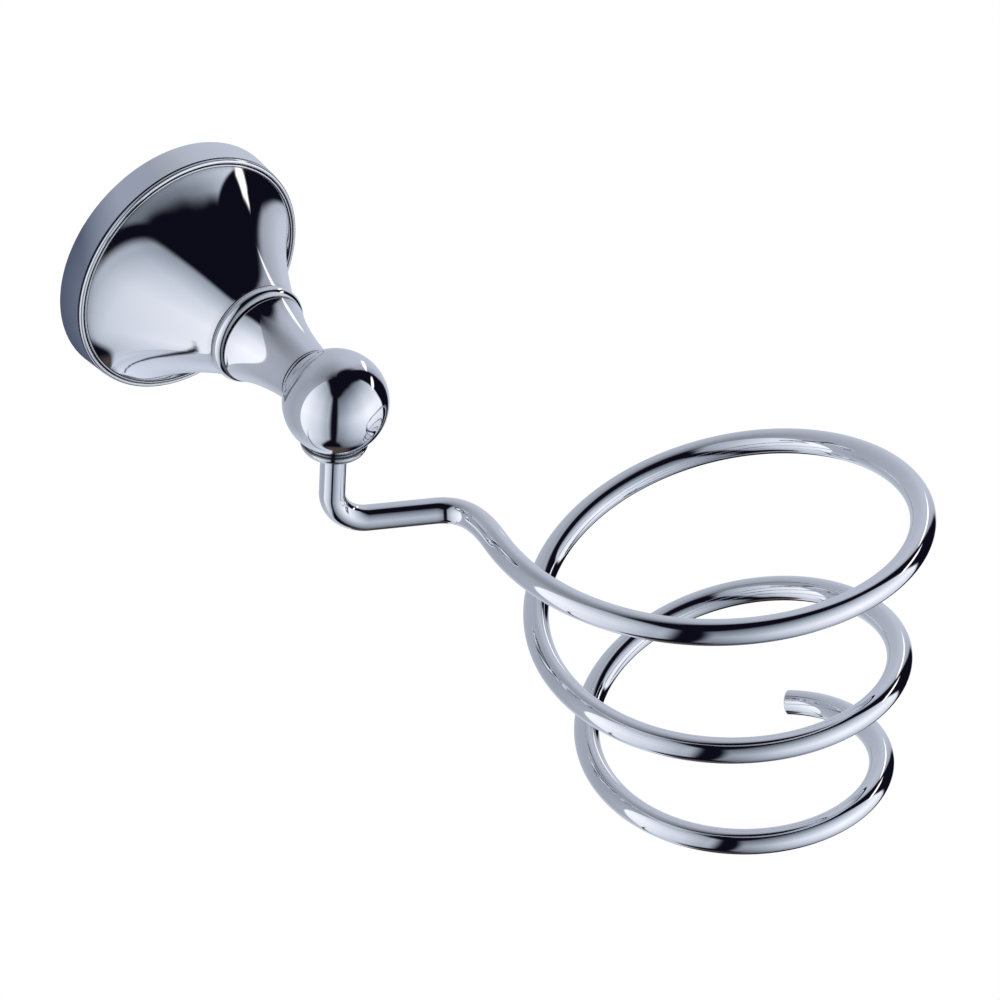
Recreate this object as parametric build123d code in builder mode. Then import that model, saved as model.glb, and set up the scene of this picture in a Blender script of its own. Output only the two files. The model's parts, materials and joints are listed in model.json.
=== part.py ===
"""Wall-mounted hair dryer holder: a bell-shaped base, a ball, and a swivelling spiral of bent rod.

Frame, in millimetres: the origin is the centre of the base on the wall plane (y = 0), +Z is up, the
object stands out of the wall towards -Y, and +X is to the right for someone facing the wall.
"""

import math
import os

from build123d import *

# ---- Driving dimensions -------------------------------------------------------------------------
wire_r = 3.0
ball_reach = 65.0  # wall to the centre of the ball
ball_r = 12.0

# Base: an outer ring that holds the rim of the bell, and hides the wall bracket
ring_wall_r = 30.4
ring_front_r = 30.0
ring_band = 6.5
ring_bore_r = 27.0
ring_shelf = 5.2
ring_bead_r = 0.58
ring_bead_middle = 7.1
rim_r = 28.75
rim_bead_r = 0.28
rim_bead_middle = 7.5
bell_nose_r = 11.8
bell_nose = 33.4
bell_wall = 2.1
bell_web = 2.5

bracket_r = 26.7
bracket_thick = 5.0
bracket_groove_r = 25.5
screw_spacing = 28.0
screw_hole_r = 2.25
screw_head_r = 4.2
grub_r = 2.0
grub_from_wall = 2.5
grub_length = 4.0
grub_key_r = 1.0

# Neck and its rings, threaded on one central stud
stud_r = 2.5
stud_clearance = 0.25
stud_back = 23.2
stud_tip = 60.5
collar_bead_r = 2.0
collar_end = 36.8
neck_lip_r = 10.95
neck_waist_r = 6.95
neck_end = 54.4
neck_ring_thick = 0.9
nut_across_flats = 8.0
nut_thick = 4.0
washer_r = 5.0
washer_thick = 1.0
lock_washer_r = 4.6
lock_washer_thick = 1.2

# Socket in the underside of the ball; heights are measured from the ball's centre
socket_r = 5.0
socket_ceiling = -3.4
ball_flat = -9.7
ferrule_bottom = -12.45
spigot_top = -7.2
rod_clearance = 0.05
friction_washer_thick = 0.8
disc_spring_height = 0.6
disc_spring_sheet = 0.3
clip_thick = 0.8
clip_r = 4.4
groove_r = 2.3
rod_tip = -4.0

# Arm: its heading is measured from +X, and its plan sizes from the swivel axis
arm_heading = -24.3
run_height = -34.0
drop_bend_r = 8.5
run_end = 24.0
s_bend_reach = 8.0
s_bend_return = 6.5
end_chamfer = 0.35

# Spiral: both the taper and the fall are fastest at the top, by coil_ease
coil_centre = (86.0, -3.7)
coil_start_height = -33.4
coil_start_angle = -168.5
coil_turns = 2.625
coil_top_r = 52.5
coil_end_r = 31.8
coil_height = 97.5
coil_ease = 0.28
coil_tilt_x = -3.2
coil_tilt_y = -9.8
coil_points_per_turn = 16
coil_lengths = 11  # the swept surface is made in this many lengths, about a quarter turn each

through = 100.0  # longer than any piece that it cuts

bore_r = stud_r + stud_clearance
ball_back = neck_end + neck_ring_thick
ball_centre = (0, -ball_reach, 0)
swivel_axis = Axis(ball_centre, (0, 0, 1))
swivel_plane = Plane(ball_centre, x_dir=(1, 0, 0), z_dir=(0, -1, 0))


def at(radius, depth):
    """A point of a turned profile: radius from the base's axis, depth out from the wall."""
    return (radius, -depth)


def leaning(point, lean, length):
    """The point a length further out from the wall, on a line leaning towards the base's axis."""
    angle = math.radians(lean)
    return Vector(*point) - Vector(math.sin(angle), math.cos(angle)) * length


def save(piece, name):
    piece.part.label = name
    export_step(piece.part, f"parts/{name}.step")


os.makedirs("parts", exist_ok=True)

# ---- Wall bracket: a grooved disc with two countersunk screw holes ------------------------------
groove_half = 2.1
groove_floor_half = 0.9
with BuildPart() as wall_bracket:
    with BuildSketch(Plane.XY):
        with BuildLine():
            Polyline(
                at(0, 0),
                at(bracket_r, 0),
                at(bracket_r, grub_from_wall - groove_half),
                at(bracket_groove_r, grub_from_wall - groove_floor_half),
                at(bracket_groove_r, grub_from_wall + groove_floor_half),
                at(bracket_r, grub_from_wall + groove_half),
                at(bracket_r, bracket_thick),
                at(0, bracket_thick),
                close=True,
            )
        make_face()
    revolve(axis=Axis.Y)
    with BuildSketch(Plane.XZ.offset(bracket_thick)):
        with GridLocations(screw_spacing, screw_spacing, 1, 2):
            Circle(screw_hole_r)
    extrude(amount=-bracket_thick, mode=Mode.SUBTRACT)
    sink = screw_head_r - screw_hole_r
    rims = wall_bracket.edges().filter_by(GeomType.CIRCLE)
    rims = rims.filter_by(lambda edge: edge.radius < screw_head_r)
    chamfer(rims.group_by(Axis.Y)[0], length=sink)
save(wall_bracket, "wall_bracket")

# ---- Base ring: a slightly flared band with a rounded bead along its front ----------------------
ring_bead_foot = 60  # degrees round the bead's section, from its outermost point back to its foot
grub_plane = Plane((0, -grub_from_wall, 0), x_dir=(1, 0, 0), z_dir=(0, 0, -1))
with BuildPart() as base_ring:
    with BuildSketch(Plane.XY):
        with BuildLine():
            bead_centre = at(rim_r + ring_bead_r, ring_bead_middle)
            bead = CenterArc(bead_centre, ring_bead_r, ring_bead_foot, -180 - ring_bead_foot)
            Polyline(
                bead @ 1,
                at(rim_r, ring_shelf),
                at(ring_bore_r, ring_shelf),
                at(ring_bore_r, 0),
                at(ring_wall_r, 0),
                at(ring_front_r, ring_band),
                bead @ 0,
            )
        make_face()
    revolve(axis=Axis.Y)
    with BuildSketch(grub_plane):
        Circle(grub_r)
    extrude(amount=through, mode=Mode.SUBTRACT)
save(base_ring, "base_ring")

# ---- Grub screw: a flat-ended set screw with a hexagon socket, tight on the bracket's groove ----
grub_tip_r = 0.6
grub_tip_length = 1.3
key_depth = 1.6
with BuildPart() as grub_screw:
    with BuildSketch(grub_plane.offset(bracket_groove_r)):
        Circle(grub_tip_r)
    with BuildSketch(grub_plane.offset(bracket_groove_r + grub_tip_length)):
        Circle(grub_r)
    loft()
    with BuildSketch(grub_plane.offset(bracket_groove_r + grub_tip_length)):
        Circle(grub_r)
    extrude(amount=grub_length - grub_tip_length)
    with BuildSketch(grub_plane.offset(bracket_groove_r + grub_length)):
        RegularPolygon(grub_key_r, 6)
    extrude(amount=-key_depth, mode=Mode.SUBTRACT)
save(grub_screw, "grub_screw")

# ---- Bell cover: a thin trumpet with a beaded rim and a solid web across its nose ---------------
rim_bead_turn = 150  # degrees of the rim's bead, from its outside over to the bell's mouth
mouth_lean = 48.4
mouth_reach = 10.9
nose_lean = 18.0
nose_reach = 1.6
web_back = bell_nose - bell_web
inner_nose_r = 10.9
with BuildPart() as bell_cover:
    with BuildSketch(Plane.XY):
        with BuildLine():
            rim_bead = CenterArc(at(rim_r - rim_bead_r, rim_bead_middle), rim_bead_r, 0, -rim_bead_turn)
            mouth = rim_bead @ 1
            nose = at(bell_nose_r, bell_nose)
            Bezier(
                mouth,
                leaning(mouth, mouth_lean, mouth_reach),
                leaning(nose, nose_lean, -nose_reach),
                nose,
            )
            inner_mouth = mouth - Vector(bell_wall, 0)
            inner_nose = at(inner_nose_r, web_back)
            Polyline(nose, at(bore_r, bell_nose), at(bore_r, web_back), inner_nose)
            Bezier(
                inner_nose,
                leaning(inner_nose, nose_lean, -nose_reach),
                leaning(inner_mouth, mouth_lean, mouth_reach),
                inner_mouth,
            )
            Polyline(inner_mouth, at(inner_mouth.X, ring_shelf), at(rim_r, ring_shelf), rim_bead @ 0)
        make_face()
    revolve(axis=Axis.Y)
save(bell_cover, "bell_cover")

# ---- Collar ring: one full bead between the bell and the neck -----------------------------------
collar_middle = collar_end - collar_bead_r
collar_groove_r = 10.2
collar_foot = math.degrees(math.asin((collar_middle - bell_nose) / collar_bead_r))
with BuildPart() as collar_ring:
    with BuildSketch(Plane.XY):
        with BuildLine():
            bead_centre = at(collar_groove_r, collar_middle)
            bead = CenterArc(bead_centre, collar_bead_r, collar_foot, -90 - collar_foot)
            Polyline(bead @ 1, at(bore_r, collar_end), at(bore_r, bell_nose), bead @ 0)
        make_face()
    revolve(axis=Axis.Y)
save(collar_ring, "collar_ring")

# ---- Neck: a turned taper with a rounded foot, bored through for the stud -------------------------
neck_foot_round = neck_lip_r - collar_groove_r
neck_lip_lean = 27.0
neck_lip_reach = 4.7
waist_lean = 3.8
waist_reach = 5.4
waist_edge = 0.25  # the neck's end is bevelled by this much along it
groove_depth = 0.55  # of the grooves either side of the ring behind the ball
neck_tip_r = neck_waist_r - groove_depth
with BuildPart() as neck:
    with BuildSketch(Plane.XY):
        with BuildLine():
            foot_centre = at(collar_groove_r, collar_end + neck_foot_round)
            foot = CenterArc(foot_centre, neck_foot_round, 90, -90)
            lip = foot @ 1
            waist = at(neck_waist_r, neck_end - waist_edge)
            Bezier(
                lip,
                leaning(lip, neck_lip_lean, neck_lip_reach),
                leaning(waist, waist_lean, -waist_reach),
                waist,
            )
            Polyline(
                waist,
                at(neck_tip_r, neck_end),
                at(bore_r, neck_end),
                at(bore_r, collar_end),
                foot @ 0,
            )
        make_face()
    revolve(axis=Axis.Y)
save(neck, "neck")

# ---- Neck ring: a thin round-edged washer behind the ball ---------------------------------------
ring_flat_r = 6.75
with BuildPart() as neck_ring:
    with BuildSketch(Plane.XY):
        with BuildLine():
            edge_centre = at(ring_flat_r, neck_end + neck_ring_thick / 2)
            edge = CenterArc(edge_centre, neck_ring_thick / 2, 90, -180)
            Polyline(edge @ 1, at(bore_r, ball_back), at(bore_r, neck_end), edge @ 0)
        make_face()
    revolve(axis=Axis.Y)
save(neck_ring, "neck_ring")

# ---- Ball: flat behind and below, tapped for the stud and for the socket's ferrule --------------
tap_past_stud = 0.4
tapped_depth = stud_tip + tap_past_stud - ball_back
with BuildPart() as ball:
    with Locations(ball_centre):
        Sphere(ball_r)
    split(bisect_by=Plane.XZ.offset(ball_back), keep=Keep.TOP)
    split(bisect_by=Plane.XY.offset(ball_flat), keep=Keep.TOP)
    with BuildSketch(Plane.XZ.offset(ball_back)):
        Circle(stud_r)
    extrude(amount=tapped_depth, mode=Mode.SUBTRACT)
    with BuildSketch(Plane.XY.offset(ball_flat)):
        with Locations((0, -ball_reach)):
            Circle(socket_r)
    extrude(amount=socket_ceiling - ball_flat, mode=Mode.SUBTRACT)
save(ball, "ball")

# ---- Centre stud, with the nut and washers that draw the stack together -------------------------
stud_chamfer = 0.4
with BuildPart() as centre_stud:
    with BuildSketch(Plane.XZ.offset(stud_back)):
        Circle(stud_r)
    extrude(amount=stud_tip - stud_back)
    chamfer(centre_stud.edges().filter_by(GeomType.CIRCLE), length=stud_chamfer)
save(centre_stud, "centre_stud")

washer_back = web_back - washer_thick
with BuildPart() as stud_washer:
    with BuildSketch(Plane.XZ.offset(washer_back)):
        Circle(washer_r)
        Circle(bore_r, mode=Mode.SUBTRACT)
    extrude(amount=washer_thick)
save(stud_washer, "stud_washer")

split_gap = 0.7
lock_washer_back = washer_back - lock_washer_thick
with BuildPart() as lock_washer:
    with BuildSketch(Plane.XZ.offset(lock_washer_back)):
        Circle(lock_washer_r)
        Circle(bore_r, mode=Mode.SUBTRACT)
        with Locations((lock_washer_r, 0)):
            Rectangle(2 * lock_washer_r, split_gap, mode=Mode.SUBTRACT)
    extrude(amount=lock_washer_thick)
save(lock_washer, "lock_washer")

nut_back = lock_washer_back - nut_thick
nut_bevel = 0.45
with BuildPart() as stud_nut:
    with BuildSketch(Plane.XZ.offset(nut_back)):
        RegularPolygon(nut_across_flats / 2, 6, major_radius=False)
        Circle(stud_r, mode=Mode.SUBTRACT)
    extrude(amount=nut_thick)
    corner_r = nut_across_flats / math.sqrt(3)
    with BuildSketch(Plane.XY):
        with BuildLine():
            Polyline(
                at(corner_r - 2 * nut_bevel, nut_back),
                at(corner_r + 2 * nut_bevel, nut_back),
                at(corner_r + 2 * nut_bevel, nut_back + 2 * nut_bevel),
                close=True,
            )
        make_face()
    revolve(axis=Axis.Y, mode=Mode.SUBTRACT)
save(stud_nut, "stud_nut")

# ---- Socket ferrule: a beaded bush screwed into the ball, in which the rod turns ----------------
ferrule_bore_r = wire_r + rod_clearance
ferrule_top_r = 7.2
ferrule_bead = (7.85, -10.0)
ferrule_groove = (7.45, -10.35)
ferrule_shoulder = (7.7, -10.55)
ferrule_side = (7.6, -11.4)
ferrule_toe = (7.1, -12.2)
ferrule_foot_r = 6.7
with BuildPart() as socket_ferrule:
    with BuildSketch(swivel_plane):
        with BuildLine():
            ThreePointArc((ferrule_top_r, ball_flat), ferrule_bead, ferrule_groove)
            Line(ferrule_groove, ferrule_shoulder)
            ThreePointArc(ferrule_shoulder, ferrule_side, ferrule_toe)
            Polyline(
                ferrule_toe,
                (ferrule_foot_r, ferrule_bottom),
                (ferrule_bore_r, ferrule_bottom),
                (ferrule_bore_r, spigot_top),
                (socket_r, spigot_top),
                (socket_r, ball_flat),
                (ferrule_top_r, ball_flat),
            )
        make_face()
    revolve(axis=swivel_axis)
save(socket_ferrule, "socket_ferrule")

# ---- Drag stack on the rod, from the ferrule up: washer, conical spring, split ring -------------
friction_washer_top = spigot_top + friction_washer_thick
washer_side_gap = 0.2
spring_side_gap = 0.4
drag_bore_r = ferrule_bore_r + rod_clearance
with BuildPart() as friction_washer:
    with BuildSketch(Plane.XY.offset(spigot_top)):
        with Locations((0, -ball_reach)):
            Circle(socket_r - washer_side_gap)
            Circle(drag_bore_r, mode=Mode.SUBTRACT)
    extrude(amount=friction_washer_thick)
save(friction_washer, "friction_washer")

clip_bottom = friction_washer_top + disc_spring_height
spring_r = socket_r - spring_side_gap
with BuildPart() as disc_spring:
    with BuildSketch(swivel_plane):
        with BuildLine():
            Polyline(
                (spring_r, friction_washer_top),
                (spring_r, friction_washer_top + disc_spring_sheet),
                (drag_bore_r, clip_bottom),
                (drag_bore_r, clip_bottom - disc_spring_sheet),
                close=True,
            )
        make_face()
    revolve(axis=swivel_axis)
save(disc_spring, "disc_spring")

clip_top = clip_bottom + clip_thick
clip_mouth = 3.0
with BuildPart() as retaining_ring:
    with BuildSketch(Plane.XY.offset(clip_bottom)):
        with Locations((0, -ball_reach)):
            Circle(clip_r)
            Circle(groove_r, mode=Mode.SUBTRACT)
        with Locations((clip_r, -ball_reach)):
            Rectangle(2 * clip_r, clip_mouth, mode=Mode.SUBTRACT)
    extrude(amount=clip_thick)
save(retaining_ring, "retaining_ring")


# ---- Spiral arm: one rod, bent from the swivel to its cut end ------------------------------------
def arm_point(along, across, height):
    """A point given along the arm's heading, across it to its left, and above the ball's centre."""
    return Vector(along, across, height).rotate(Axis.Z, arm_heading) + Vector(ball_centre)


def coil_point(turn):
    """A point on the spiral, before its height is set; turn counts from 0 at the top."""
    share = turn / coil_turns
    eased = share + coil_ease * share * (1 - share)
    angle = math.radians(coil_start_angle) + 2 * math.pi * turn
    radius = coil_top_r - (coil_top_r - coil_end_r) * eased
    flat = Vector(radius * math.cos(angle), radius * math.sin(angle), -coil_height * eased)
    tilted = flat.rotate(Axis.X, coil_tilt_x).rotate(Axis.Y, coil_tilt_y)
    return tilted + Vector(*coil_centre, 0)


lift = coil_start_height - coil_point(0).Z
coil_count = round(coil_turns * coil_points_per_turn)
turns = [coil_turns * step / coil_count for step in range(coil_count + 1)]
coil_path = []
for turn in turns:
    place = coil_point(turn)
    coil_path.append(arm_point(place.X, place.Y, place.Z + lift))

bend_top = arm_point(0, 0, run_height + drop_bend_r)
bend_middle = drop_bend_r * (1 - math.sqrt(0.5))
with BuildPart() as spiral_arm:
    with BuildLine() as route:
        Line(arm_point(0, 0, rod_tip), bend_top)
        ThreePointArc(
            bend_top,
            arm_point(bend_middle, 0, run_height + bend_middle),
            arm_point(drop_bend_r, 0, run_height),
        )
        Line(arm_point(drop_bend_r, 0, run_height), arm_point(run_end, 0, run_height))
        coil = Spline(*coil_path, mode=Mode.PRIVATE)
        Bezier(
            arm_point(run_end, 0, run_height),
            arm_point(run_end + s_bend_reach, 0, run_height),
            coil @ 0 - (coil % 0) * s_bend_return,
            coil @ 0,
        )
    lengths = [coil.trim(cut / coil_lengths, (cut + 1) / coil_lengths) for cut in range(coil_lengths)]
    with BuildSketch(Plane.XY.offset(rod_tip)):
        with Locations((0, -ball_reach)):
            Circle(wire_r)
    sweep(path=Wire([*route.edges(), *lengths]))
    with BuildSketch(Plane.XY.offset(clip_bottom)):
        with Locations((0, -ball_reach)):
            Circle(clip_r)
            Circle(groove_r, mode=Mode.SUBTRACT)
    extrude(amount=clip_thick, mode=Mode.SUBTRACT)
    chamfer(spiral_arm.edges().sort_by(Axis.Z)[-1], length=end_chamfer)
save(spiral_arm, "spiral_arm")
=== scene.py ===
"""Looks of the hair dryer holder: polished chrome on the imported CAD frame, inside a light tent."""

import json
import math

import bmesh
import bpy
from mathutils import Matrix, Vector


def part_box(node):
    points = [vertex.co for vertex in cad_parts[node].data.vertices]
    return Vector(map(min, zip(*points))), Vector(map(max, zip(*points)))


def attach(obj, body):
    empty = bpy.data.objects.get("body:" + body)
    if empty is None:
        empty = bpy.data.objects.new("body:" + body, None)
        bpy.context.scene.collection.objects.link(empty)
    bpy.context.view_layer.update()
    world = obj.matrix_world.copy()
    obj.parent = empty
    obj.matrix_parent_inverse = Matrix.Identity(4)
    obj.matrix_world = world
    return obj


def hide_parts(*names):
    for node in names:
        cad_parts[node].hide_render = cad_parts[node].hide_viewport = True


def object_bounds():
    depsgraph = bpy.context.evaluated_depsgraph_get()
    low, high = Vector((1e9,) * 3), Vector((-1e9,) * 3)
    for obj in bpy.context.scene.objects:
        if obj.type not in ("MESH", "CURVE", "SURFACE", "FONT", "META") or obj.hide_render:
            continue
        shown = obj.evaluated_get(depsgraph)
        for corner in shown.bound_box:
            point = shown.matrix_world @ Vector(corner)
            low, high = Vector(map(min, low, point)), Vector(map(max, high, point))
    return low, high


mm = 0.001

# ---- Camera, in degrees and metres: where it stands, seen from the ball, and how it is framed ----
camera_azimuth = -39.5
camera_elevation = 38.3
camera_roll = 3.8
camera_distance = 1.111
camera_lens = 180.0
camera_sensor = 36.0
camera_nearest = 0.05
camera_farthest = 50.0
aim_right = 0.0365  # the view's middle lies this far right of the ball, and below it
aim_down = 0.0218

# ---- Studio: a light tent of cloth panels round the object, its ceiling and table dark ----------
tent_radius = 1.25
tent_step = 1.0  # degrees between the tent's vertices
tent_gain = 1.12
floor_drop = 1.4
floor_size = 12.0
paper_white = (1.0, 1.0, 1.0)

ceiling_colour = (0.004, 0.0035, 0.009)
table_colour = (0.068, 0.053, 0.052)
table_edge = (-76.0, 9.0)  # elevation where the table starts, and how softly
cool_white = (0.96, 0.98, 1.06)
sky_white = (0.87, 0.975, 1.17)  # cloth that gets less light looks bluer
paper_grey = (0.89, 0.95, 1.10)
lamp_white = (1.04, 1.02, 0.98)
tint_full = 0.25  # light level of a panel where its second colour is full, and where it ends
tint_none = 0.85

# Each panel: edges as (along, at) stops, softness of left, right, top and bottom, and light levels.
# Azimuth is 0 towards -Y and 90 towards +X, elevation is above the horizon, both in degrees.
panels = [
    {
        "middle": -80,
        "colour": (cool_white, sky_white),
        "left": ((-90, -111), (90, -111)),
        "right": ((-90, -47), (90, -47)),
        "top": ((-111, 70), (-80, 67), (-60, 59), (-47, 42)),
        "bottom": ((-111, -85), (-98, -80), (-88, -72), (-75, -66), (-60, -60), (-47, -50)),
        "soft": (2, 9, 11, 9),
        "across": ((-111, 1.0), (-100, 0.95), (-85, 0.81), (-70, 0.70), (-55, 0.47)),
        "upward": ((-70, 0.6), (-50, 0.86), (0, 1.0), (30, 0.87), (50, 0.62), (60, 0.5)),
    },
    {
        "middle": 20,
        "colour": (cool_white, sky_white),
        "left": ((-90, -31), (90, -31)),
        "right": ((-90, 92), (-50, 90), (-40, 85), (-25, 77), (0, 70), (90, 69)),
        "top": ((-31, 42), (-15, 53), (0, 58), (40, 59), (60, 52), (70, 40)),
        "bottom": ((-31, -56), (-15, -67), (0, -75), (40, -73), (60, -68), (92, -60)),
        "soft": (7, 3, 10, 12),
        "across": ((-28, 0.34), (-15, 0.46), (0, 0.66), (15, 0.8), (35, 0.97), (60, 0.92)),
        "upward": (
            (-70, 0.24), (-60, 0.38), (-50, 0.57), (-30, 0.82), (-10, 1.0), (0, 0.98),
            (10, 0.84), (20, 0.72), (30, 0.59), (40, 0.43), (50, 0.26), (60, 0.15),
        ),
    },
    {
        "middle": 175,
        "colour": (paper_grey, paper_grey),
        "left": ((-90, 150), (-60, 140), (-50, 118), (-25, 106), (0, 99), (90, 97)),
        "right": ((-90, 249), (90, 249)),
        "top": ((97, 44), (110, 60), (130, 74), (150, 80), (200, 80), (249, 73)),
        "bottom": ((97, -36), (115, -41), (130, -48), (143, -70), (152, -84), (162, -87), (249, -87)),
        "soft": (4, 2, 22, 7),
        "across": (
            (97, 0.34), (106, 0.46), (115, 0.56), (130, 0.56), (150, 0.49), (190, 0.42),
            (225, 0.37), (249, 0.42),
        ),
        "upward": ((-80, 1.6), (-60, 1.3), (-45, 1.05), (0, 1.0), (40, 0.92), (75, 0.55)),
    },
]
corner_shifts = (-9, -6, -3, 0, 3, 6, 9)  # degrees over which the panels' corners are rounded

# Two lamps, and a dark seam that runs from the first panel down across the third. All are strips
# across the tent, each given by the azimuth, elevation and width at its bends.
lamps = [
    {"path": ((68, 16, 3.0), (75, 17, 6.5), (85, 17, 5.5), (91, 16, 1.0)), "level": 1.35},
    {"path": ((99, 23, 2.0), (105, 21, 5.0), (112, 16, 6.0), (117, 11, 4.0), (119, 8, 1.0)), "level": 1.25},
]
lamp_softness = 2.2
seam = (
    (-95, -36, 0.1), (-100, -45, 0.6), (-106, -53, 1.4), (-117, -63, 1.4),
    (-137, -71, 1.4), (-156, -75, 1.4), (-200, -79, 1.0),
)
seam_softness = 0.9
seam_colour = (0.004, 0.004, 0.01)

# A dim glowing crescent of card close behind the base, seen only in reflections: a painted dark
# reflection in the base's outer band. Angles are from +X towards +Z, lengths in millimetres, and it darkens
# from the first to the second angle.
card_behind = 1.5
card_from = 100.0
card_to = 245.0
card_inner_r = 30.6
card_outer_r = ((100, 44.0), (135, 43.5), (150, 42.5), (165, 41.0), (180, 40.0), (245, 39.5))
card_light = (0.347, 0.378, 0.469)
card_inner = ((118.0, 142.0), (0.080, 0.100, 0.155))
card_outer = ((128.0, 168.0), (0.160, 0.184, 0.255))
card_columns = 72
card_rows = 8

# ---- Arm, in millimetres from the ball's centre: the same route as its CAD solid ----------------
wire_r = 3.0
rod_tip = -4.0
clip_groove = (-5.0, -5.8, 2.3)  # its top, its bottom and its radius
arm_heading = -24.3
run_height = -34.0
drop_bend_r = 8.5
run_end = 24.0
s_bend_reach = 8.0
s_bend_return = 6.5
end_round = 0.35
end_rings = 6
end_clear = 1.5  # rings nearer the end than this many rounding radii make way for the rounding
end_reach = 10.0  # and only within this many wire radii of it
coil_centre = (86.0, -3.7)
coil_start_height = -33.4
coil_start_angle = -168.5
coil_turns = 2.625
coil_top_r = 52.5
coil_end_r = 31.8
coil_height = 97.5
coil_ease = 0.28
coil_tilt_x = -3.2
coil_tilt_y = -9.8
coil_start_step = coil_turns / 10000  # a short step along the spiral, to find its first heading
groove_rings = 5  # the tip and the groove's four edges, all sharp, come first on the route
rod_sides = 64
rings_per_turn = 360
rings_per_bend = 32

# ---- Turned parts, in millimetres: the same profiles as their CAD solids ------------------------
turned_sides = 288
curve_steps = 48
bore_r = 2.75
rim_r = 28.75
ring_shelf = 5.2
rim_bead_r = 0.28
rim_bead_middle = 7.5
rim_bead_turn = 150
mouth_lean = 48.4
mouth_reach = 10.9
bell_nose_r = 11.8
bell_nose = 33.4
nose_lean = 18.0
nose_reach = 1.6
bell_wall = 2.1
inner_nose_r = 10.9
web_back = 30.9
collar_end = 36.8
collar_bead_r = 2.0
collar_groove_r = 10.2
neck_lip_r = 10.95
neck_lip_lean = 27.0
neck_lip_reach = 4.7
neck_waist_r = 6.95
waist_lean = 3.8
waist_reach = 5.4
waist_edge = 0.25
neck_tip_r = 6.4
neck_end = 54.4
neck_ring_thick = 0.9
neck_ring_flat_r = 6.75
ferrule_bore_r = 3.05
socket_r = 5.0
spigot_top = -7.2
ball_flat = -9.7
ferrule_bottom = -12.45
ferrule_foot_r = 6.7
ferrule_bead = ((7.2, -9.7), (7.85, -10.0), (7.45, -10.35))
ferrule_wall = ((7.7, -10.55), (7.6, -11.4), (7.1, -12.2))


def middle_of_ball():
    """The ball's own centre: its flats are behind and below, so the box's middle isn't it."""
    low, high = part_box("ball")
    radius = (high.x - low.x) / 2
    return Vector((low.x + radius, low.y + radius, high.z - radius))


def direction(azimuth, elevation):
    """A unit vector; azimuth 0 points to -Y and 90 to +X."""
    a = math.radians(azimuth)
    e = math.radians(elevation)
    return Vector((math.sin(a) * math.cos(e), -math.cos(a) * math.cos(e), math.sin(e)))


# ---- Camera -------------------------------------------------------------------------------------
def make_camera(target):
    """A long lens towards the target, rolled a little, with the target off the picture's middle."""
    back = direction(camera_azimuth, camera_elevation)
    level = Vector((0, 0, 1)).cross(back).normalized()
    roll = Matrix.Rotation(math.radians(camera_roll), 3, back)
    right = roll @ level
    up = roll @ back.cross(level)
    data = bpy.data.cameras.new("camera")
    data.lens = camera_lens
    data.sensor_width = camera_sensor
    data.clip_start = camera_nearest
    data.clip_end = camera_farthest
    camera = bpy.data.objects.new("camera", data)
    bpy.context.scene.collection.objects.link(camera)
    place = Matrix((right, up, back)).transposed().to_4x4()
    place.translation = target + right * aim_right - up * aim_down + back * camera_distance
    camera.matrix_world = place
    bpy.context.scene.camera = camera


# ---- Studio -------------------------------------------------------------------------------------
def ramp(stops, x):
    """Linear between (x, value) stops, level beyond them."""
    if x <= stops[0][0]:
        return stops[0][1]
    for (x0, v0), (x1, v1) in zip(stops, stops[1:]):
        if x <= x1:
            return v0 + (v1 - v0) * (x - x0) / (x1 - x0)
    return stops[-1][1]


def rounded_ramp(stops, x):
    """The ramp with its corners rounded off."""
    return sum(ramp(stops, x + shift) for shift in corner_shifts) / len(corner_shifts)


def blend(a, b, share):
    """From colour or numbers a, where the share is 0, to b, where it is 1."""
    return [old * (1 - share) + new * share for old, new in zip(a, b)]


def soft_step(distance, softness):
    """0 outside an edge and 1 inside it, smooth over the softness."""
    t = min(max(distance / softness + 0.5, 0.0), 1.0)
    return t * t * (3 - 2 * t)


def strip_mask(path, softness, toward):
    """1 inside a strip that follows a path across the tent, 0 off it."""
    inside = -180.0
    for (azimuth_a, elevation_a, width_a), (azimuth_b, elevation_b, width_b) in zip(path, path[1:]):
        start = direction(azimuth_a, elevation_a)
        run = direction(azimuth_b, elevation_b) - start
        share = min(max((toward - start).dot(run) / run.dot(run), 0.0), 1.0)
        away = math.degrees((toward - start - run * share).length)
        inside = max(inside, (width_a + (width_b - width_a) * share) / 2 - away)
    return soft_step(inside, softness)


def tent_light(azimuth, elevation):
    """The tent's colour in one direction."""
    edge, softness = table_edge
    table = soft_step(edge - elevation, softness)
    light = blend(ceiling_colour, table_colour, table)
    for panel in panels:
        a = (azimuth - panel["middle"] + 180) % 360 - 180 + panel["middle"]
        soft_left, soft_right, soft_top, soft_bottom = panel["soft"]
        mask = soft_step(a - ramp(panel["left"], elevation), soft_left)
        mask *= soft_step(ramp(panel["right"], elevation) - a, soft_right)
        mask *= soft_step(rounded_ramp(panel["top"], a) - elevation, soft_top)
        mask *= soft_step(elevation - rounded_ramp(panel["bottom"], a), soft_bottom)
        level = ramp(panel["across"], a) * ramp(panel["upward"], elevation)
        dim = ramp(((tint_full, 1.0), (tint_none, 0.0)), level)
        cloth = [level * c for c in blend(*panel["colour"], dim)]
        light = blend(light, cloth, mask)
    toward = direction(azimuth, elevation)
    for lamp in lamps:
        mask = strip_mask(lamp["path"], lamp_softness, toward)
        light = blend(light, [lamp["level"] * c for c in lamp_white], mask)
    mask = strip_mask(seam, seam_softness, toward)
    light = blend(light, seam_colour, mask)
    return [value * tent_gain for value in light]


def new_material(name):
    material = bpy.data.materials.new(name)
    material.use_nodes = True
    nodes = material.node_tree.nodes
    nodes.clear()
    output = nodes.new("ShaderNodeOutputMaterial")
    return material, nodes, material.node_tree.links, output


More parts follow.
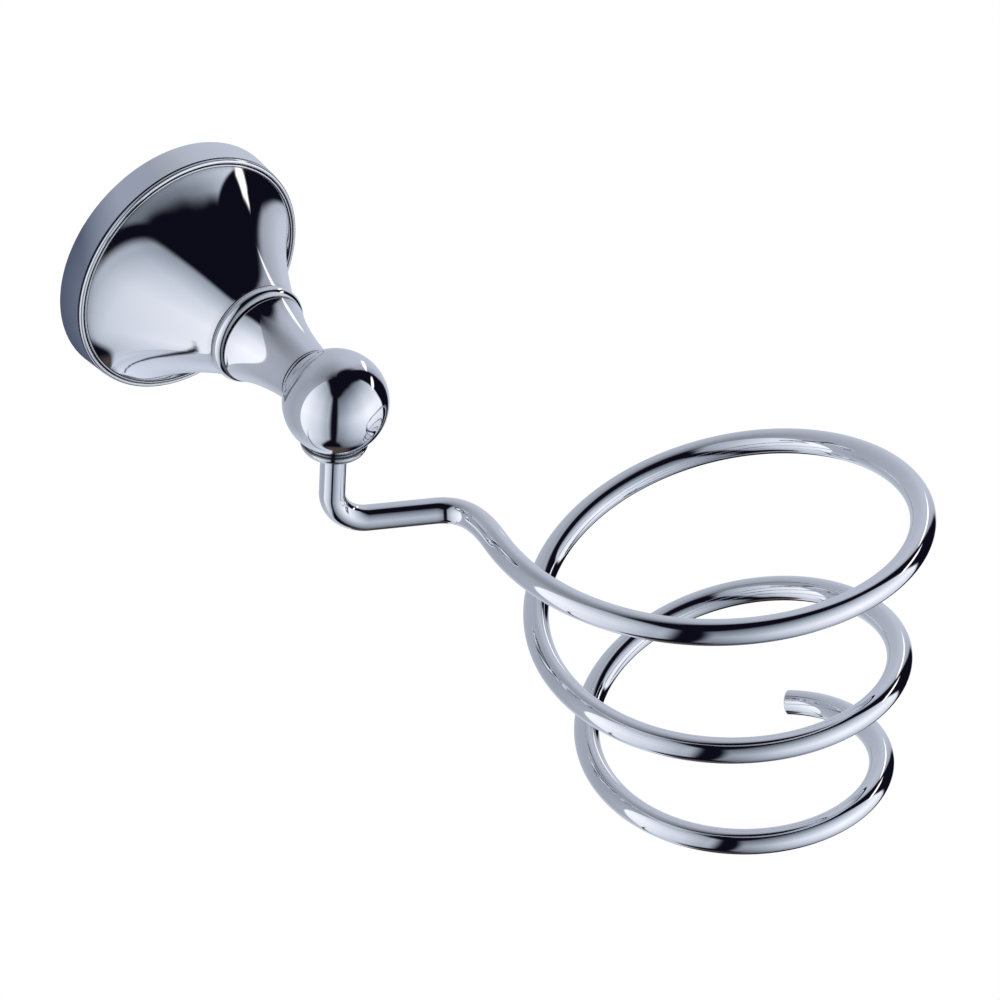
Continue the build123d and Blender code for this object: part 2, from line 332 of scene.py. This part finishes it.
def glowing(name, colour=None, attribute=None):
    """A light-giving stage material, of one colour or painted by a colour attribute."""
    material, nodes, links, output = new_material(name)
    glow = nodes.new("ShaderNodeEmission")
    if attribute:
        paint = nodes.new("ShaderNodeAttribute")
        paint.attribute_name = attribute
        links.new(paint.outputs["Color"], glow.inputs["Color"])
    else:
        glow.inputs["Color"].default_value = (*colour, 1)
    links.new(glow.outputs["Emission"], output.inputs["Surface"])
    material.cycles.emission_sampling = "NONE"
    return material


def joined(rings, around, open_rings=False, closes=False):
    """Quads that join each ring of vertices to the next, and the last to the first if it closes."""
    faces = []
    for ring in range(rings if closes else rings - 1):
        low = ring * around
        high = (ring + 1) % rings * around
        for step in range(around - 1 if open_rings else around):
            after = (step + 1) % around
            faces.append((low + step, low + after, high + after, high + step))
    return faces


def add_object(name, verts, faces):
    """A new mesh object in the scene."""
    mesh = bpy.data.meshes.new(name)
    mesh.from_pydata(verts, [], faces)
    mesh.update()
    obj = bpy.data.objects.new(name, mesh)
    bpy.context.scene.collection.objects.link(obj)
    return obj


def add_reflected(name, verts, faces, colours, material_name):
    """A stage piece that glows in its vertices' colours and is seen only in reflections."""
    piece = add_object(name, verts, faces)
    paint = piece.data.color_attributes.new("light", "FLOAT_COLOR", "POINT")
    paint.data.foreach_set("color", colours)
    piece.data.materials.append(glowing(material_name, attribute="light"))
    piece.visible_camera = False
    piece.visible_shadow = False
    return piece


def make_tent(target):
    """The light tent, a sphere of cloth panels round the target."""
    columns = round(360 / tent_step)
    rows = round(180 / tent_step)
    verts = []
    colours = []
    for row in range(rows + 1):
        elevation = -90 + row * tent_step
        for column in range(columns):
            azimuth = -180 + column * tent_step
            verts.append(target + direction(azimuth, elevation) * tent_radius)
            colours.extend([*tent_light(azimuth, elevation), 1.0])
    tent = add_reflected("light_tent", verts, joined(rows + 1, columns), colours, "tent_cloth")


def make_reflection_card():
    """The dim glowing crescent behind the base, which paints a dark reflection into the base's outer band.
    """
    verts = []
    colours = []
    for row in range(card_rows + 1):
        out = row / card_rows
        starts, ends = blend(card_inner[0], card_outer[0], out)
        dark = blend(card_inner[1], card_outer[1], out)
        for column in range(card_columns + 1):
            angle = card_from + (card_to - card_from) * column / card_columns
            radius = card_inner_r * (1 - out) + ramp(card_outer_r, angle) * out
            turn = math.radians(angle)
            verts.append((radius * mm * math.cos(turn), card_behind * mm, radius * mm * math.sin(turn)))
            depth = ramp(((starts, 0.0), (ends, 1.0)), angle)
            colours.extend([*blend(card_light, dark, depth), 1.0])
    faces = joined(card_rows + 1, card_columns + 1, open_rings=True)
    card = add_reflected("painted_reflection_card", verts, faces, colours, "painted_reflection_glow")


def make_floor(lowest):
    """A plain white floor below the object. It glows, so it takes no shadow."""
    half = floor_size / 2
    height = lowest - floor_drop
    corners = [(-half, -half, height), (half, -half, height), (half, half, height), (-half, half, height)]
    floor = add_object("floor", corners, [(0, 1, 2, 3)])
    floor.data.materials.append(glowing("floor_paper", colour=paper_white))


def make_world():
    """A plain white world, with colours shown as they are."""
    world = bpy.data.worlds.new("white_studio")
    world.use_nodes = True
    world.node_tree.nodes["Background"].inputs["Color"].default_value = (*paper_white, 1)
    bpy.context.scene.world = world
    bpy.context.scene.view_settings.view_transform = "Standard"


# ---- Arm ----------------------------------------------------------------------------------------
def coil_point(turn):
    """A point on the spiral, before its height is set; turn counts from 0 at the top."""
    share = turn / coil_turns
    eased = share + coil_ease * share * (1 - share)
    angle = math.radians(coil_start_angle) + 2 * math.pi * turn
    radius = coil_top_r - (coil_top_r - coil_end_r) * eased
    point = Vector((radius * math.cos(angle), radius * math.sin(angle), -coil_height * eased))
    point.rotate(Matrix.Rotation(math.radians(coil_tilt_x), 3, "X"))
    point.rotate(Matrix.Rotation(math.radians(coil_tilt_y), 3, "Y"))
    return point + Vector((*coil_centre, 0))


def bezier(a, b, c, d, t):
    """A point on the cubic curve with these four handles."""
    u = 1 - t
    return a * u**3 + b * 3 * u * u * t + c * 3 * u * t * t + d * t**3


def arm_route():
    """(point, radius) down the drop, round the bend, along the run and round the spiral."""
    groove_top, groove_bottom, groove_r = clip_groove
    route = [(Vector((0, 0, rod_tip)), wire_r)]
    route += [(Vector((0, 0, groove_top)), r) for r in (wire_r, groove_r)]
    route += [(Vector((0, 0, groove_bottom)), r) for r in (groove_r, wire_r)]
    for step in range(rings_per_bend + 1):
        angle = math.pi / 2 * step / rings_per_bend
        out = drop_bend_r * (1 - math.cos(angle))
        down = drop_bend_r * (1 - math.sin(angle))
        route.append((Vector((out, 0, run_height + down)), wire_r))
    lift = Vector((0, 0, coil_start_height - coil_point(0).z))
    start = coil_point(0) + lift
    heading = (coil_point(coil_start_step) - coil_point(0)).normalized()
    level = Vector((run_end, 0, run_height))
    handles = (level, level + Vector((s_bend_reach, 0, 0)), start - heading * s_bend_return, start)
    for step in range(rings_per_bend):
        route.append((bezier(*handles, step / rings_per_bend), wire_r))
    count = round(coil_turns * rings_per_turn)
    for step in range(count + 1):
        route.append((coil_point(coil_turns * step / count) + lift, wire_r))
    return route


def round_end(route):
    """Turns the last stretch of the route into the rod's rounded end."""
    tip = route[-1][0]
    ahead = (tip - route[-2][0]).normalized()
    kept = []
    for place, radius in route[:-1]:
        to_tip = tip - place
        if to_tip.dot(ahead) > end_clear * end_round or to_tip.length > end_reach * wire_r:
            kept.append((place, radius))
    for step in range(end_rings + 1):
        angle = math.pi / 2 * step / end_rings
        back = end_round * (1 - math.sin(angle))
        kept.append((tip - ahead * back, wire_r - end_round * (1 - math.cos(angle))))
    return kept


def make_arm(centre):
    """The bent rod as one clean swept mesh, which stands for the CAD solid."""
    turn = Matrix.Rotation(math.radians(arm_heading), 3, "Z")
    route = round_end(arm_route())
    verts = []
    across = Vector((1, 0, 0))
    for index, (place, radius) in enumerate(route):
        before = route[max(index - 1, 0)][0]
        after = route[min(index + 1, len(route) - 1)][0]
        ahead = (after - before).normalized()
        across = (across - ahead * across.dot(ahead)).normalized()
        side = ahead.cross(across)
        for corner in range(rod_sides):
            angle = 2 * math.pi * corner / rod_sides
            point = place + (across * math.cos(angle) + side * math.sin(angle)) * radius
            verts.append(centre + turn @ point * mm)
    tip_cap = tuple(reversed(range(rod_sides)))
    end_cap = tuple(range(len(verts) - rod_sides, len(verts)))
    faces = [tip_cap, *joined(len(route), rod_sides), end_cap]
    arm = add_object("arm_rod", verts, faces)
    arm.data.polygons.foreach_set("use_smooth", [True] * len(faces))
    sharp_rings = {*range(groove_rings), len(route) - 1}
    for edge in arm.data.edges:
        rings = {v // rod_sides for v in edge.vertices}
        if len(rings) == 1 and rings & sharp_rings:
            edge.use_edge_sharp = True
    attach(arm, "arm")
    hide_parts("spiral_arm")
    return arm


# ---- Turned parts -------------------------------------------------------------------------------
def arc(centre, radius, start, turn):
    """Points of a profile's arc, angles counted as in the CAD, where depth runs downwards."""
    points = []
    for step in range(curve_steps + 1):
        angle = math.radians(start + turn * step / curve_steps)
        points.append(Vector((centre[0] + radius * math.cos(angle), centre[1] - radius * math.sin(angle))))
    return points


def arc_through(a, b, c):
    """Points of the arc from a through b to c."""
    a, b, c = Vector(a), Vector(b), Vector(c)
    d = 2 * (a.x * (b.y - c.y) + b.x * (c.y - a.y) + c.x * (a.y - b.y))
    x = (a.dot(a) * (b.y - c.y) + b.dot(b) * (c.y - a.y) + c.dot(c) * (a.y - b.y)) / d
    y = (a.dot(a) * (c.x - b.x) + b.dot(b) * (a.x - c.x) + c.dot(c) * (b.x - a.x)) / d
    centre = Vector((x, y))
    start = math.atan2(a.y - y, a.x - x)
    turn = math.remainder(math.atan2(c.y - y, c.x - x) - start, 2 * math.pi)
    radius = (a - centre).length
    points = []
    for step in range(curve_steps + 1):
        angle = start + turn * step / curve_steps
        points.append(centre + Vector((math.cos(angle), math.sin(angle))) * radius)
    return points


def leaning(point, lean, length):
    """The point a length further out from the wall, on a line leaning towards the axis."""
    angle = math.radians(lean)
    return Vector(point) + Vector((-math.sin(angle), math.cos(angle))) * length


def curve(a, lean_a, reach_a, b, lean_b, reach_b):
    """Points of the curve that leaves a and reaches b at those leans."""
    a, b = Vector(a), Vector(b)
    handles = (a, leaning(a, lean_a, reach_a), leaning(b, lean_b, -reach_b), b)
    return [bezier(*handles, step / curve_steps) for step in range(curve_steps + 1)]


def bell_profile():
    rim = arc((rim_r - rim_bead_r, rim_bead_middle), rim_bead_r, 0, -rim_bead_turn)
    mouth = rim[-1]
    inner_mouth = mouth - Vector((bell_wall, 0))
    nose = (bell_nose_r, bell_nose)
    inner_nose = (inner_nose_r, web_back)
    outside = curve(mouth, mouth_lean, mouth_reach, nose, nose_lean, nose_reach)
    inside = curve(inner_mouth, mouth_lean, mouth_reach, inner_nose, nose_lean, nose_reach)
    straight = [[nose, (bore_r, bell_nose)], [(bore_r, bell_nose), (bore_r, web_back)]]
    straight.append([(bore_r, web_back), inner_nose])
    corners = [inner_mouth, (inner_mouth.x, ring_shelf), (rim_r, ring_shelf), rim[0]]
    return [rim, outside, *straight, inside[::-1], *zip(corners, corners[1:])]


def collar_profile():
    middle = collar_end - collar_bead_r
    foot = math.degrees(math.asin((middle - bell_nose) / collar_bead_r))
    bead = arc((collar_groove_r, middle), collar_bead_r, foot, -90 - foot)
    corners = [bead[-1], (bore_r, collar_end), (bore_r, bell_nose), bead[0]]
    return [bead, *zip(corners, corners[1:])]


def neck_profile():
    foot_round = neck_lip_r - collar_groove_r
    foot = arc((collar_groove_r, collar_end + foot_round), foot_round, 90, -90)
    waist = (neck_waist_r, neck_end - waist_edge)
    side = curve(foot[-1], neck_lip_lean, neck_lip_reach, waist, waist_lean, waist_reach)
    corners = [waist, (neck_tip_r, neck_end), (bore_r, neck_end), (bore_r, collar_end), foot[0]]
    return [foot, side, *zip(corners, corners[1:])]


def neck_ring_profile():
    edge_middle = (neck_ring_flat_r, neck_end + neck_ring_thick / 2)
    edge = arc(edge_middle, neck_ring_thick / 2, 90, -180)
    corners = [edge[-1], (bore_r, neck_end + neck_ring_thick), (bore_r, neck_end), edge[0]]
    return [edge, *zip(corners, corners[1:])]


def ferrule_profile():
    bead = arc_through(*ferrule_bead)
    wall = arc_through(*ferrule_wall)
    corners = [wall[-1], (ferrule_foot_r, ferrule_bottom), (ferrule_bore_r, ferrule_bottom)]
    corners += [(ferrule_bore_r, spigot_top), (socket_r, spigot_top), (socket_r, ball_flat), bead[0]]
    return [bead, (bead[-1], wall[0]), wall, *zip(corners, corners[1:])]


def turned(name, node, runs, place):
    """Turns a closed profile, given as runs that meet at sharp corners, and stands it for a node."""
    profile = []
    sharp = set()
    for run in runs:
        sharp.add(len(profile))
        profile.extend(run[:-1])
    verts = []
    for radius, along in profile:
        for side in range(turned_sides):
            angle = 2 * math.pi * side / turned_sides
            verts.append(place(radius * math.cos(angle), radius * math.sin(angle), along))
    faces = joined(len(profile), turned_sides, closes=True)
    piece = add_object(name, verts, faces)
    sculpt = bmesh.new()
    sculpt.from_mesh(piece.data)
    bmesh.ops.recalc_face_normals(sculpt, faces=sculpt.faces)
    sculpt.to_mesh(piece.data)
    sculpt.free()
    piece.data.polygons.foreach_set("use_smooth", [True] * len(faces))
    for edge in piece.data.edges:
        a, b = (v // turned_sides for v in edge.vertices)
        edge.use_edge_sharp = a == b and a in sharp
    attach(piece, "base")
    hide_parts(node)
    return piece


def make_turned_parts(centre):
    """The five turned pieces that stand for CAD solids, placed on the row's axes."""

    def outward(x, z, depth):
        return Vector((centre.x + x * mm, -depth * mm, centre.z + z * mm))

    def upright(x, y, height):
        return centre + Vector((x, y, height)) * mm

    return [
        turned("bell_skin", "bell_cover", bell_profile(), outward),
        turned("collar_bead", "collar_ring", collar_profile(), outward),
        turned("neck_taper", "neck", neck_profile(), outward),
        turned("neck_bead", "neck_ring", neck_ring_profile(), outward),
        turned("ferrule_bush", "socket_ferrule", ferrule_profile(), upright),
    ]


# ---- Materials: scales in features a metre, distances in metres ---------------------------------
crevice_samples = 6
mix_colour_a = 6  # where the Mix node keeps its colour sockets
mix_colour_b = 7
mix_colour_out = 2


class Recipe:
    """A Principled material, with short ways to feed its colour, roughness and bump.

    Every recipe feeds its roughness; the plain number is for programs that can't read the nodes.
    """

    def __init__(self, name, metallic, roughness):
        self.material, self.nodes, self.links, output = new_material(name)
        self.shader = self.nodes.new("ShaderNodeBsdfPrincipled")
        self.shader.inputs["Metallic"].default_value = metallic
        self.shader.inputs["Roughness"].default_value = roughness
        self.links.new(self.shader.outputs["BSDF"], output.inputs["Surface"])
        self.place = self.nodes.new("ShaderNodeTexCoord").outputs["Object"]

    def noise(self, scale, detail=3.0, stretch=(1, 1, 1), distortion=0.0):
        """Noise of about so many features a metre, stretched along an axis by a smaller factor."""
        mapping = self.nodes.new("ShaderNodeMapping")
        mapping.inputs["Scale"].default_value = stretch
        self.links.new(self.place, mapping.inputs["Vector"])
        texture = self.nodes.new("ShaderNodeTexNoise")
        texture.inputs["Scale"].default_value = scale
        texture.inputs["Detail"].default_value = detail
        texture.inputs["Distortion"].default_value = distortion
        self.links.new(mapping.outputs["Vector"], texture.inputs["Vector"])
        return texture.outputs["Fac"]

    def spread(self, value, low, high, start=0.3, end=0.7):
        """The value's range start..end spread over low..high."""
        node = self.nodes.new("ShaderNodeMapRange")
        node.inputs["From Min"].default_value = start
        node.inputs["From Max"].default_value = end
        node.inputs["To Min"].default_value = low
        node.inputs["To Max"].default_value = high
        self.links.new(value, node.inputs["Value"])
        return node.outputs["Result"]

    def add(self, a, b):
        node = self.nodes.new("ShaderNodeMath")
        node.operation = "ADD"
        self.links.new(a, node.inputs[0])
        self.links.new(b, node.inputs[1])
        return node.outputs["Value"]

    def mix(self, factor, a, b):
        """Colour a where the factor is 0 and b where it is 1; either may be a socket."""
        node = self.nodes.new("ShaderNodeMix")
        node.data_type = "RGBA"
        self.links.new(factor, node.inputs["Factor"])
        for socket, colour in ((node.inputs[mix_colour_a], a), (node.inputs[mix_colour_b], b)):
            if isinstance(colour, tuple):
                socket.default_value = (*colour, 1)
            else:
                self.links.new(colour, socket)
        return node.outputs[mix_colour_out]

    def crevice(self, reach, start, end):
        """1 deep in a groove or under an edge, 0 on open surface, read from ambient occlusion: a mask for
        painted shade.
        """
        node = self.nodes.new("ShaderNodeAmbientOcclusion")
        node.samples = crevice_samples
        node.inputs["Distance"].default_value = reach
        return self.spread(node.outputs["AO"], low=1.0, high=0.0, start=start, end=end)

    def bump(self, height, distance):
        """Bumps the surface by a height, of which 1 stands for the distance."""
        node = self.nodes.new("ShaderNodeBump")
        node.inputs["Distance"].default_value = distance
        self.links.new(height, node.inputs["Height"])
        self.links.new(node.outputs["Normal"], self.shader.inputs["Normal"])

    def colour(self, socket):
        self.links.new(socket, self.shader.inputs["Base Color"])

    def roughness(self, socket):
        self.links.new(socket, self.shader.inputs["Roughness"])


def chrome():
    """Mirror-bright plating: faint cloudiness, wiping smears, and painted shade in the grooves, which are
    also rougher.
    """
    bright = (0.895, 0.905, 0.925)
    clouded = (0.86, 0.875, 0.905)
    groove_shade_colour = (0.012, 0.012, 0.016)
    look = Recipe("polished_chrome", metallic=1.0, roughness=0.02)
    cloud = look.spread(look.noise(55, detail=2), low=0.0, high=1.0)
    plate = look.mix(cloud, bright, clouded)
    # painted shade: the colour goes near black where ambient occlusion finds a groove or an edge close by
    groove_shade = look.crevice(reach=0.0018, start=0.6, end=0.96)
    look.colour(look.mix(groove_shade, plate, groove_shade_colour))
    smear = look.noise(70, detail=4, distortion=1.5)
    smears = look.spread(smear, low=0.008, high=0.035, start=0.45, end=0.8)
    groove_roughness = look.spread(groove_shade, low=0.0, high=0.25, start=0.0, end=1.0)
    look.roughness(look.add(smears, groove_roughness))
    look.bump(look.noise(60, detail=1), distance=0.000005)
    return look.material


def zinc(name, light, dark):
    """Bright zinc plate: a mottled, here and there yellowed skin, machining lines, painted shade in the
    corners.
    """
    yellowed = (0.60, 0.58, 0.50)
    corner_shade_colour = (0.06, 0.055, 0.05)
    look = Recipe(name, metallic=1.0, roughness=0.35)
    mottle = look.spread(look.noise(420, detail=5), low=0.0, high=1.0)
    tint = look.spread(look.noise(60, detail=2), low=0.0, high=0.6)
    skin = look.mix(mottle, light, dark)
    skin = look.mix(tint, skin, yellowed)
    # painted shade: the skin goes dark brown where ambient occlusion finds a corner or an edge close by
    look.colour(look.mix(look.crevice(reach=0.0008, start=0.2, end=0.7), skin, corner_shade_colour))
    lines = look.noise(900, detail=2, stretch=(1, 0.05, 1))
    dull = look.spread(mottle, low=0.22, high=0.34, start=0.0, end=1.0)
    look.roughness(look.add(dull, look.spread(lines, low=0.0, high=0.12)))
    look.bump(lines, distance=0.00003)
    return look.material


def blued_spring():
    """Spring steel blued by its heat treatment, paler and browner where it has rubbed."""
    blue = (0.10, 0.12, 0.20)
    brown = (0.16, 0.13, 0.15)
    bare = (0.36, 0.33, 0.30)
    look = Recipe("blued_spring_steel", metallic=1.0, roughness=0.3)
    heat = look.spread(look.noise(300, detail=3), low=0.0, high=1.0)
    rubbed = look.spread(look.noise(700, detail=4), low=0.0, high=0.6, start=0.55, end=0.8)
    skin = look.mix(heat, blue, brown)
    look.colour(look.mix(rubbed, skin, bare))
    look.roughness(look.spread(heat, low=0.24, high=0.4, start=0.0, end=1.0))
    look.bump(look.noise(1500, detail=2), distance=0.00002)
    return look.material


def natural_nylon():
    """Milky natural nylon with a fine moulded grain and a little grease on it."""
    pale = (0.80, 0.78, 0.70)
    deep = (0.72, 0.70, 0.62)
    greasy = (0.45, 0.42, 0.33)
    look = Recipe("natural_nylon", metallic=0.0, roughness=0.5)
    milky = look.spread(look.noise(250, detail=3), low=0.0, high=1.0)
    grease = look.spread(look.noise(400, detail=2), low=0.0, high=0.35, start=0.55, end=0.8)
    skin = look.mix(milky, pale, deep)
    look.colour(look.mix(grease, skin, greasy))
    look.roughness(look.spread(grease, low=0.55, high=0.3, start=0.0, end=0.35))
    look.bump(look.noise(2500, detail=3), distance=0.00002)
    look.shader.inputs["Subsurface Weight"].default_value = 0.15
    look.shader.inputs["Subsurface Radius"].default_value = (0.002, 0.002, 0.0015)
    return look.material


# ---- Scene --------------------------------------------------------------------------------------
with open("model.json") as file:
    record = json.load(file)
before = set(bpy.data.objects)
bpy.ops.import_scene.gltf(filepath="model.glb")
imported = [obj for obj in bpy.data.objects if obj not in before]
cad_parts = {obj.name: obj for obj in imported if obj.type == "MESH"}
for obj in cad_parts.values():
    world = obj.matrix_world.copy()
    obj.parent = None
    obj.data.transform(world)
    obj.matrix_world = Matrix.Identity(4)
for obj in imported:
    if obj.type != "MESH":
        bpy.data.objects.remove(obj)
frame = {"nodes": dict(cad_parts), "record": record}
cad_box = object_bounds()
ball_centre = middle_of_ball()
make_camera(ball_centre)
make_world()
make_tent(ball_centre)
make_reflection_card()
make_floor(cad_box[0].z)
finishes = {
    "chrome": chrome(),
    "bracket": zinc("zinc_plate", (0.66, 0.67, 0.70), (0.50, 0.51, 0.54)),
    "fastener": zinc("bright_zinc", (0.72, 0.72, 0.74), (0.58, 0.58, 0.61)),
    "spring_steel": blued_spring(),
    "nylon": natural_nylon(),
}
for part in frame["record"]["subparts"]:
    node = frame["nodes"][part["node"]]
    node.data.materials.clear()
    node.data.materials.append(finishes[part["material_slot"]])
for piece in [make_arm(ball_centre), *make_turned_parts(ball_centre)]:
    piece.data.materials.append(finishes["chrome"])
